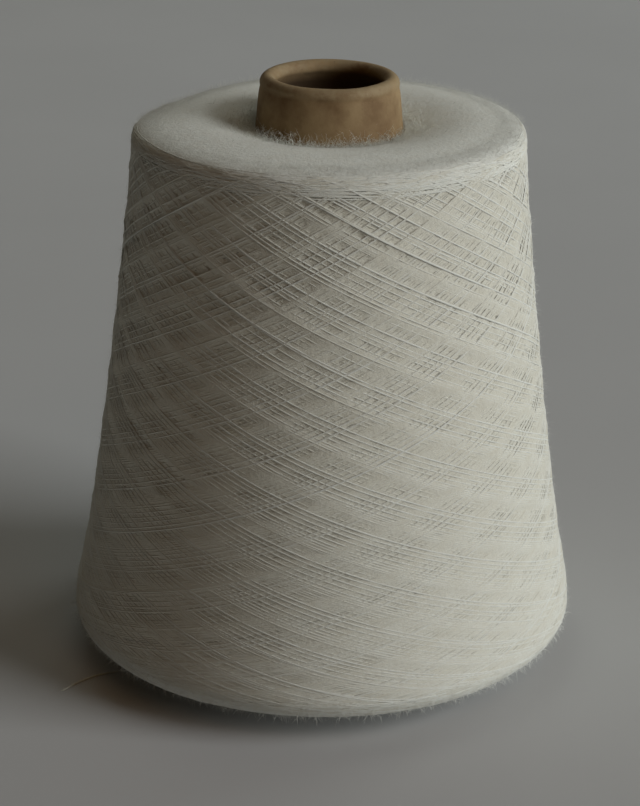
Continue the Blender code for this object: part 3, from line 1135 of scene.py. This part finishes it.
def lying_turns(name, start, end, count, points, spans, rise, random, material):
    """Parts of turns that lie along the skin here and cross at small angles: each comes up
    out of it and goes back."""
    depths = (0.00002, 0.00022)
    ends_deeper_by = 0.0005
    unevenness = 0.12
    shades = (0.88, 1.0)
    share = np.linspace(-1.0, 1.0, points)
    place, angle = scattered(random, start, end, count)
    drift = random.uniform(-rise, rise, (count, 1))
    place = np.clip(place[:, None] + drift * share, start, end)
    length = random.uniform(*spans, (count, 1))
    angle = angle[:, None] + length / skin_at(place)[0] * share / 2
    depth = random.uniform(*depths, (count, 1)) + ends_deeper_by * share ** 2
    sizes = 1 + unevenness * smooth_noise(random, count, points, step=2)
    tones = random.uniform(*shades, (count, 1)) + 0 * sizes
    return tubes_object(name, place, angle, depth, sizes, tones, material, softness=0.35)


def build_end_turns(material):
    """The threads' turns that show round the package's two edges."""
    random = np.random.default_rng(21)
    return [lying_turns(name, *sizes, random, material) for name, sizes in LYING_TURNS.items()]


# ---- paper cone


def paper_outline():
    """The board's (radius, height) outline: up inside, over the rolled nose, down outside,
    where a faint crease shows the end of the roll."""
    inward = CONE_WALL / math.cos(CONE_HALF_ANGLE)
    centre_height = CONE_LENGTH - NOSE_ROLL_RADIUS
    under_roll = centre_height - 1.5 * NOSE_ROLL_RADIUS
    inside = np.concatenate([[0.0], np.linspace(CONE_CHAMFER, under_roll, 12)])
    outside = np.concatenate([
        CONE_LENGTH - np.array(CREASE_POINTS),
        np.linspace(0.1640, 0.159, 4),
        np.linspace(YARN_TOP, 0.02, 6),
        [CONE_CHAMFER, 0.0],
    ])
    groove = ramp(CONE_LENGTH - outside, CREASE)
    angle = np.linspace(NOSE_ROLL_END_ANGLE, CONE_HALF_ANGLE, 23)
    nose = np.stack([NOSE_OUTER_RADIUS - NOSE_ROLL_RADIUS + NOSE_ROLL_RADIUS * np.cos(angle),
                     centre_height + NOSE_ROLL_RADIUS * np.sin(angle)], axis=-1)
    outline = np.concatenate([
        np.stack([cone_outer_radius(inside) - inward, inside], axis=-1),
        nose,
        np.stack([cone_outer_radius(outside) - groove, outside], axis=-1),
    ])
    outline[0, 0] += CONE_CHAMFER
    outline[-1, 0] -= CONE_CHAMFER
    return outline


def build_paper(material):
    """The paper cone: a tapered board wall with a rolled nose, a little out of round."""
    random = np.random.default_rng(41)
    outline = paper_outline()
    angle = math.tau * np.arange(PAPER_COLUMNS) / PAPER_COLUMNS
    nose = np.clip((outline[:, 1:] - YARN_TOP - NOSE_CLEAR) / NOSE_FADE, 0.0, 1.0)
    dents = np.zeros(PAPER_COLUMNS)
    for wave in DENT_WAVES:
        dents += random.normal(0.0, DENT_SIZE) * np.cos(wave * angle + random.uniform(0, math.tau))
    ripples = RIPPLE_SIZE * smooth_noise(random, len(outline), PAPER_COLUMNS, step=5)
    ripples *= np.sin(angle / 2) ** 0.5
    radius = outline[:, :1] + nose * (dents + ripples)
    height = outline[:, 1:] + 0 * angle
    points = np.stack([radius * np.cos(angle), radius * np.sin(angle), height], axis=-1)
    board = new_object("paper_cone_board", turned_faces("paper_cone_board", points), material)
    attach(board, "root")
    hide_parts("paper_cone")


# ---- floor and lights


def build_floor(material):
    reach = FLOOR_REACH
    corners = [(-reach, -reach, 0.0), (reach, -reach, 0.0), (reach, reach, 0.0), (-reach, reach, 0.0)]
    mesh = new_mesh("floor", np.array(corners), [np.array([[0, 1, 2, 3]])])
    new_object("floor", mesh, material)


def area_light(name, azimuth, elevation, distance, size, power, colour):
    """A square soft light that shines at the cone."""
    data = bpy.data.lights.new(name, "AREA")
    data.shape = "RECTANGLE"
    data.size, data.size_y = size
    data.energy = power
    data.color = colour
    turn = math.radians(azimuth)
    rise = math.radians(elevation)
    away = Vector((math.sin(turn) * math.cos(rise), -math.cos(turn) * math.cos(rise), math.sin(rise)))
    light = link(bpy.data.objects.new(name, data))
    light.location = LIGHTS_AIM + distance * away
    light.rotation_euler = (-away).to_track_quat("-Z", "Y").to_euler()


def build_lights():
    for name, values in LIGHTS.items():
        area_light(name, *values)
    world = bpy.data.worlds.new("studio")
    world.use_nodes = True
    background = world.node_tree.nodes["Background"]
    background.inputs["Color"].default_value = ROOM_COLOUR
    background.inputs["Strength"].default_value = ROOM_STRENGTH
    bpy.context.scene.world = world


def main():
    bpy.context.scene.view_settings.view_transform = "Standard"
    build_camera()
    fibres = fibre_material()
    mat = felt_material()
    build_loose_end(mat, fibres)
    thread = thread_material("yarn_thread", twists_per_strip=260)
    edge_thread = thread_material("yarn_edge_thread", twists_per_strip=30)
    random = np.random.default_rng(6)
    place, angle = winding_paths(random)
    depth, surface = wind(place, angle)
    pieces = [build_body(surface, mat)]
    pieces += build_winding(place, angle, depth, random, thread)
    pieces += build_end_turns(edge_thread)
    pieces += build_fibres(fibres)
    for piece in pieces:
        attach(piece, "root")
    build_paper(paper_material())
    build_floor(floor_material())
    build_lights()


main()
